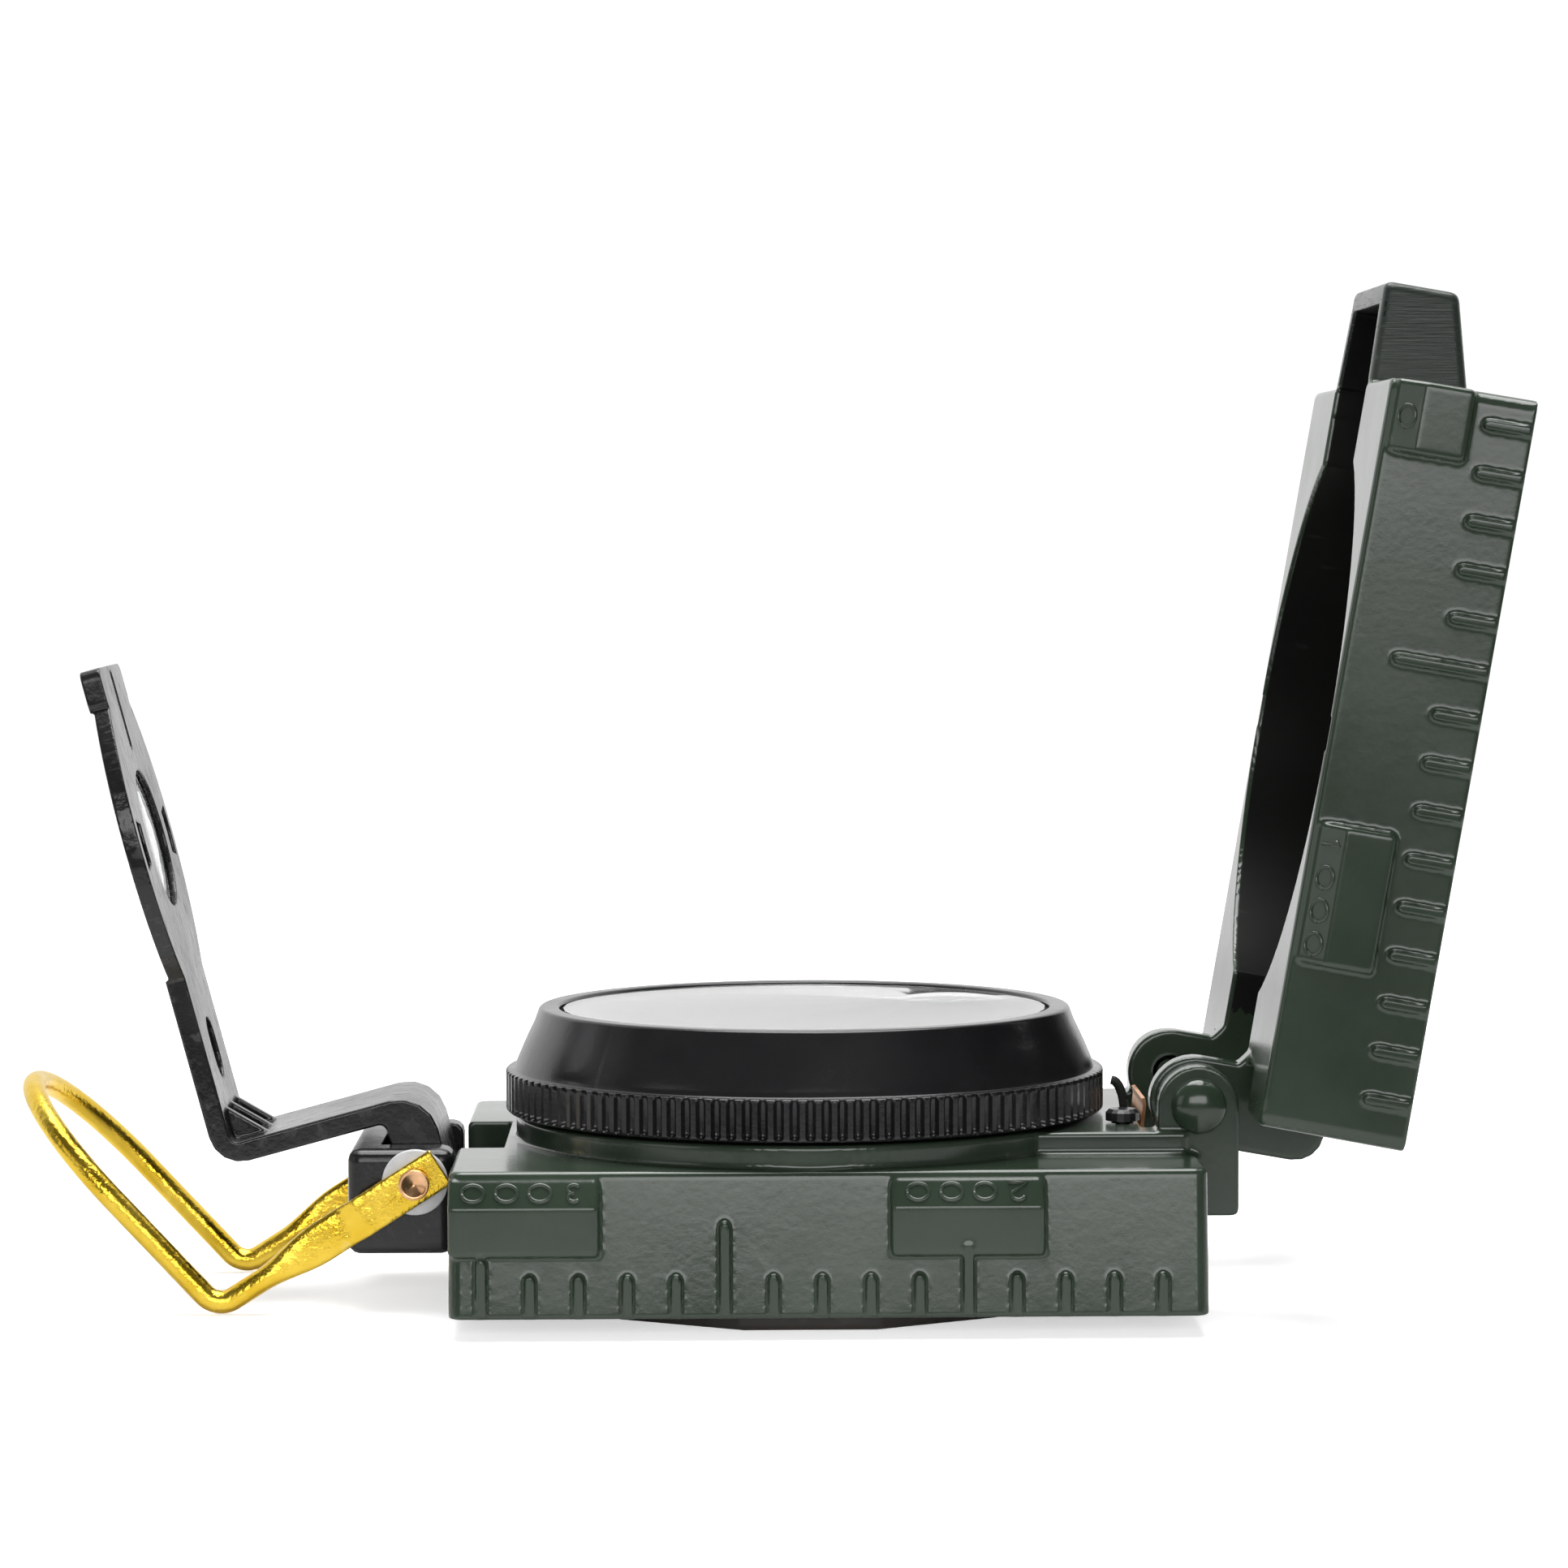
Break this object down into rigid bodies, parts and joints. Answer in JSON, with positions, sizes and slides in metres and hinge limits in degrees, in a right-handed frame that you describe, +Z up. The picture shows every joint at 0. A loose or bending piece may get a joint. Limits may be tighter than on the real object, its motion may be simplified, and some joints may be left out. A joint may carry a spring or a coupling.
{
  "type": "sighting compass",
  "caption": "Folding sighting compass with a ruler-edged case and lid, a knurled bezel, a lens bracket and a thumb ring.",
  "frame": {"origin": "under the dial's axis, on the plane that the bottom cover rests on", "axes": "+Z up along the dial's axis, +X towards the lid hinge, -Y towards the ruler edge"},
  "size_m": [0.1274, 0.0542, 0.0872],
  "materials": {
    "olive_paint": "satin olive paint on die-cast metal",
    "cover_brown": "matt brown-black coating",
    "black_plastic": "moulded black",
    "white_nylon": "plain nylon",
    "dial_white": "printed card",
    "steel": "bright",
    "dark_steel": "blackened",
    "brass": "bright, rough on the flats",
    "copper": "bright rivet copper",
    "rubber": "matt",
    "glass": "clear"
  },
  "bodies": {
    "case": {"base_case": "olive_paint", "bottom_cover": "cover_brown", "bottom_cover_screw_1": "steel", "bottom_cover_screw_2": "steel", "bottom_cover_screw_3": "steel", "bottom_cover_screw_4": "steel", "front_block": "black_plastic", "front_block_pin_near": "steel", "front_block_pin_far": "steel", "bracket_pin": "copper", "nylon_washer_near": "white_nylon", "nylon_washer_far": "white_nylon", "capsule_housing": "brass", "capsule_gasket": "rubber", "capsule_glass": "glass", "capsule_retaining_ring": "steel", "pivot_post": "steel", "hinge_pin_near": "olive_paint", "hinge_pin_far": "olive_paint", "hinge_friction_spring": "copper", "friction_spring_rivet": "copper", "click_spring_screw": "black_plastic", "bezel_click_spring": "dark_steel"},
    "lid": {"lid_cover": "olive_paint", "sight_wire": "dark_steel", "sight_wire_anchor_low": "dark_steel", "sight_wire_anchor_high": "dark_steel"},
    "bezel": {"bezel_ring": "black_plastic", "bezel_glass": "glass", "bezel_glass_retainer": "black_plastic", "bezel_snap_ring": "steel"},
    "lens_arm": {"lens_bracket": "black_plastic", "sighting_lens": "glass", "lens_ring": "black_plastic"},
    "ring": {"thumb_ring": "brass"},
    "dial": {"compass_dial": "dial_white", "dial_magnet": "steel", "jewel_bearing": "brass"}
  },
  "joints": [
    {"name": "lid_hinge", "type": "hinge", "parent": "case", "child": "lid", "pos_m": [0.0329, 0, 0.0178], "axis": [0, 1, 0], "range_deg": [-99.95, 80.05]},
    {"name": "bezel_turn", "type": "hinge", "parent": "case", "child": "bezel", "pos_m": [0, 0, 0.02], "axis": [0, 0, 1], "continuous": true},
    {"name": "lens_arm_fold", "type": "hinge", "parent": "case", "child": "lens_arm", "pos_m": [-0.0333, 0, 0.0112], "axis": [0, 1, 0], "range_deg": [0, 105]},
    {"name": "thumb_ring_swing", "type": "hinge", "parent": "case", "child": "ring", "pos_m": [-0.0333, 0, 0.0112], "axis": [0, 1, 0], "range_deg": [-65, 28]},
    {"name": "dial_swing", "type": "hinge", "parent": "case", "child": "dial", "pos_m": [0, 0, 0.013], "axis": [0, 0, 1], "continuous": true}
  ]
}
